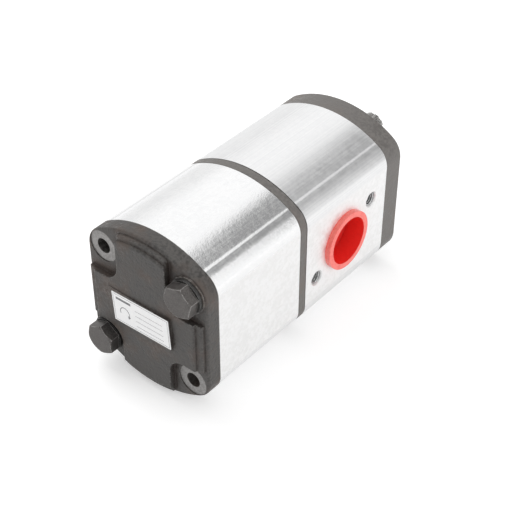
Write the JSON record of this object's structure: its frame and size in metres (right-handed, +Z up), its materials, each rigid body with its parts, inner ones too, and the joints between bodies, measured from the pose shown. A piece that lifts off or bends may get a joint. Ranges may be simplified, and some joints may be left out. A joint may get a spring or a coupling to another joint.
{
  "type": "hydraulic gear pump",
  "caption": "Tandem hydraulic gear pump with aluminium housings, iron covers, splined input shaft and plastic-plugged ports.",
  "frame": {"origin": "centre of the mounting pilot where it leaves the front cover's mounting face, on the drive shaft's axis", "axes": "+X out along the splined shaft, +Z up with the drive gear above the driven gear, -Y out of the suction port"},
  "size_m": [0.2117, 0.0892, 0.0984],
  "materials": {
    "cast_iron": "dark phosphated castings with machined joint faces",
    "body_aluminium": "bright extruded sides with fine lines along the axis, machined ends",
    "gear_steel": "ground case-hardened steel",
    "ground_steel": "ground dowel pins",
    "bolt_steel": "dark phosphated bolt steel",
    "washer_steel": "dark spring steel",
    "block_aluminium": "turned aluminium",
    "bearing_bronze": "lined bronze bush",
    "backup_plastic": "pale plastic backing strip",
    "seal_rubber": "black nitrile",
    "plug_plastic": "soft red moulded plastic, slightly clear"
  },
  "bodies": {
    "casing": {"clamp_bolt_lower": "bolt_steel", "clamp_bolt_upper": "bolt_steel", "front_aft_block": "block_aluminium", "front_aft_block_backup": "backup_plastic", "front_aft_block_drive_bush": "bearing_bronze", "front_aft_block_driven_bush": "bearing_bronze", "front_aft_block_seal": "seal_rubber", "front_body": "body_aluminium", "front_cover": "cast_iron", "front_cover_seal": "seal_rubber", "front_dowel_far_side": "ground_steel", "front_dowel_port_side": "ground_steel", "front_fore_block": "block_aluminium", "front_fore_block_backup": "backup_plastic", "front_fore_block_drive_bush": "bearing_bronze", "front_fore_block_driven_bush": "bearing_bronze", "front_fore_block_seal": "seal_rubber", "intermediate_plate": "cast_iron", "pilot_o_ring": "seal_rubber", "plate_dowel_far_side": "ground_steel", "plate_dowel_port_side": "ground_steel", "plate_front_seal": "seal_rubber", "plate_rear_seal": "seal_rubber", "rear_aft_block": "block_aluminium", "rear_aft_block_backup": "backup_plastic", "rear_aft_block_drive_bush": "bearing_bronze", "rear_aft_block_driven_bush": "bearing_bronze", "rear_aft_block_seal": "seal_rubber", "rear_body": "body_aluminium", "rear_cover": "cast_iron", "rear_cover_seal": "seal_rubber", "rear_dowel_far_side": "ground_steel", "rear_dowel_port_side": "ground_steel", "rear_fore_block": "block_aluminium", "rear_fore_block_backup": "backup_plastic", "rear_fore_block_drive_bush": "bearing_bronze", "rear_fore_block_driven_bush": "bearing_bronze", "rear_fore_block_seal": "seal_rubber", "seal_circlip": "washer_steel", "shaft_seal": "seal_rubber", "washer_lower": "washer_steel", "washer_upper": "washer_steel"},
    "drive_line": {"front_drive_gear": "gear_steel", "rear_drive_gear": "gear_steel", "shaft_coupling": "gear_steel"},
    "front_driven": {"front_driven_gear": "gear_steel"},
    "rear_driven": {"rear_driven_gear": "gear_steel"},
    "suction_plug": {"suction_plug": "plug_plastic"},
    "front_pressure_plug": {"front_pressure_plug": "plug_plastic"},
    "rear_pressure_plug": {"rear_pressure_plug": "plug_plastic"}
  },
  "joints": [
    {"name": "drive_shaft_spin", "type": "hinge", "parent": "casing", "child": "drive_line", "pos_m": [0, 0, 0], "axis": [1, 0, 0], "continuous": true},
    {"name": "front_driven_spin", "type": "hinge", "parent": "casing", "child": "front_driven", "pos_m": [0, 0, -0.034], "axis": [1, 0, 0], "continuous": true},
    {"name": "rear_driven_spin", "type": "hinge", "parent": "casing", "child": "rear_driven", "pos_m": [0, 0, -0.034], "axis": [1, 0, 0], "continuous": true},
    {"name": "suction_plug_pull", "type": "slide", "parent": "casing", "child": "suction_plug", "axis": [0, -1, 0], "range_m": [0, 0.012]},
    {"name": "front_pressure_plug_pull", "type": "slide", "parent": "casing", "child": "front_pressure_plug", "axis": [0, 1, 0], "range_m": [0, 0.012]},
    {"name": "rear_pressure_plug_pull", "type": "slide", "parent": "casing", "child": "rear_pressure_plug", "axis": [0, 1, 0], "range_m": [0, 0.012]}
  ],
  "couplings": [
    {"joint": "front_driven_spin", "follows": "drive_shaft_spin", "ratio": -1},
    {"joint": "rear_driven_spin", "follows": "drive_shaft_spin", "ratio": -1}
  ]
}
